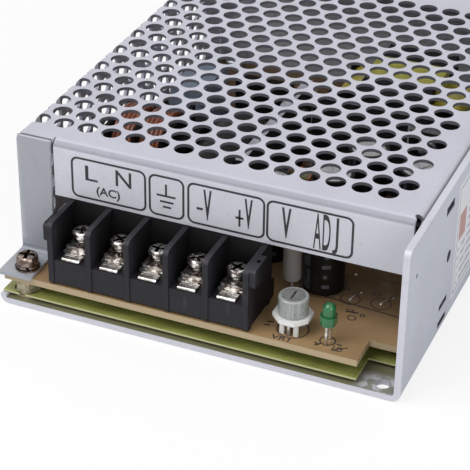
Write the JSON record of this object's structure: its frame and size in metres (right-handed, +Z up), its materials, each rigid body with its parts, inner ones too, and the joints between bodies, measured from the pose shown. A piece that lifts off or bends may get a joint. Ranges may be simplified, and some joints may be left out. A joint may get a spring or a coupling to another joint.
{
  "type": "enclosed switching power supply",
  "caption": "Switching power supply: circuit board with a screw terminal block in an L-shaped metal chassis, closed by a folded perforated cover.",
  "frame": {"origin": "centre of the footprint on the plane it stands on", "axes": "+X to the right seen from the terminal end, +Y from the open terminal end to the rear wall, +Z up to the perforated top"},
  "size_m": [0.098, 0.129, 0.038],
  "materials": {
    "black_plastic": "moulded",
    "black_sleeve": "shrink sleeve",
    "blue_epoxy": "dipped",
    "board_laminate": "coated laminate",
    "can_aluminium": "bright",
    "clear_grey_plastic": "milky",
    "cover_sheet": "satin",
    "dark_epoxy": "dipped",
    "dark_nickel": "dark plated",
    "enamelled_copper": "enamelled wire",
    "ferrite": "sintered",
    "folded_aluminium": "satin",
    "fuse_glass": "clear",
    "green_lens": "tinted",
    "grey_box_plastic": "moulded",
    "grey_pad": "silicone",
    "nickel_plate": "nickel plated",
    "nickel_screw": "nickel plated",
    "resistor_grey": "coated",
    "resistor_tan": "coated",
    "ring_core": "coated powder",
    "sheet_plastic": "translucent film",
    "standoff_brass": "plated",
    "tinned_metal": "tinned",
    "white_plastic": "moulded",
    "yellow_tape": "polyester tape",
    "zinc_screws": "plated"
  },
  "bodies": {
    "supply": {"chassis": "folded_aluminium", "cover": "cover_sheet", "insulation_sheet": "sheet_plastic", "circuit_board": "board_laminate", "standoffs": "standoff_brass", "board_screws": "zinc_screws", "tab_screw": "dark_nickel", "tab_spring_washer": "dark_nickel", "tab_flat_washer": "dark_nickel", "cover_screws": "zinc_screws", "terminal_block": "black_plastic", "terminal_plates": "tinned_metal", "clamp_washers": "nickel_plate", "terminal_spring_washers": "nickel_plate", "trimmer_base": "white_plastic", "trimmer_pins": "tinned_metal", "led_lens": "green_lens", "led_leads": "tinned_metal", "output_capacitor_cans": "can_aluminium", "output_capacitor_sleeves": "black_sleeve", "bulk_capacitor_can": "can_aluminium", "bulk_capacitor_sleeve": "black_sleeve", "line_choke_core": "ferrite", "line_choke_bobbin": "black_plastic", "line_choke_windings": "enamelled_copper", "x_capacitor": "grey_box_plastic", "y_capacitors": "blue_epoxy", "fuse_glass": "fuse_glass", "fuse_caps": "nickel_plate", "fuse_clips": "nickel_plate", "thermistor": "dark_epoxy", "bridge_rectifier": "black_plastic", "transformer_core": "ferrite", "core_tape": "yellow_tape", "transformer_bobbin": "black_plastic", "transformer_winding": "yellow_tape", "primary_heatsink": "folded_aluminium", "secondary_heatsink": "folded_aluminium", "power_transistor": "black_plastic", "output_rectifier": "black_plastic", "insulating_pads": "grey_pad", "device_screws": "zinc_screws", "output_choke_core": "ring_core", "output_choke_winding": "enamelled_copper", "control_ic": "black_plastic", "optocoupler": "white_plastic", "tall_resistor": "resistor_grey", "resistors": "resistor_tan", "snubber_capacitors": "blue_epoxy", "small_capacitor_cans": "can_aluminium", "small_capacitor_sleeves": "black_sleeve"},
    "line_clamp_screw": {"line_screw": "nickel_screw"},
    "neutral_clamp_screw": {"neutral_screw": "nickel_screw"},
    "earth_clamp_screw": {"earth_screw": "nickel_screw"},
    "minus_clamp_screw": {"minus_screw": "nickel_screw"},
    "plus_clamp_screw": {"plus_screw": "nickel_screw"},
    "trimmer": {"trimmer_knob": "clear_grey_plastic"}
  },
  "joints": [
    {"name": "line_screw_turn", "type": "hinge", "parent": "supply", "child": "line_clamp_screw", "pos_m": [-0.0302, -0.0565, 0.0179], "axis": [0, 0, 1], "range_deg": [-1008, 0]},
    {"name": "neutral_screw_turn", "type": "hinge", "parent": "supply", "child": "neutral_clamp_screw", "pos_m": [-0.0207, -0.0565, 0.0179], "axis": [0, 0, 1], "range_deg": [-1008, 0]},
    {"name": "earth_screw_turn", "type": "hinge", "parent": "supply", "child": "earth_clamp_screw", "pos_m": [-0.0112, -0.0565, 0.0179], "axis": [0, 0, 1], "range_deg": [-1008, 0]},
    {"name": "minus_screw_turn", "type": "hinge", "parent": "supply", "child": "minus_clamp_screw", "pos_m": [-0.0017, -0.0565, 0.0179], "axis": [0, 0, 1], "range_deg": [-1008, 0]},
    {"name": "plus_screw_turn", "type": "hinge", "parent": "supply", "child": "plus_clamp_screw", "pos_m": [0.0078, -0.0565, 0.0179], "axis": [0, 0, 1], "range_deg": [-1008, 0]},
    {"name": "trimmer_turn", "type": "hinge", "parent": "supply", "child": "trimmer", "pos_m": [0.0217, -0.058, 0.0112], "axis": [0, 0, 1], "range_deg": [-135, 135]}
  ]
}
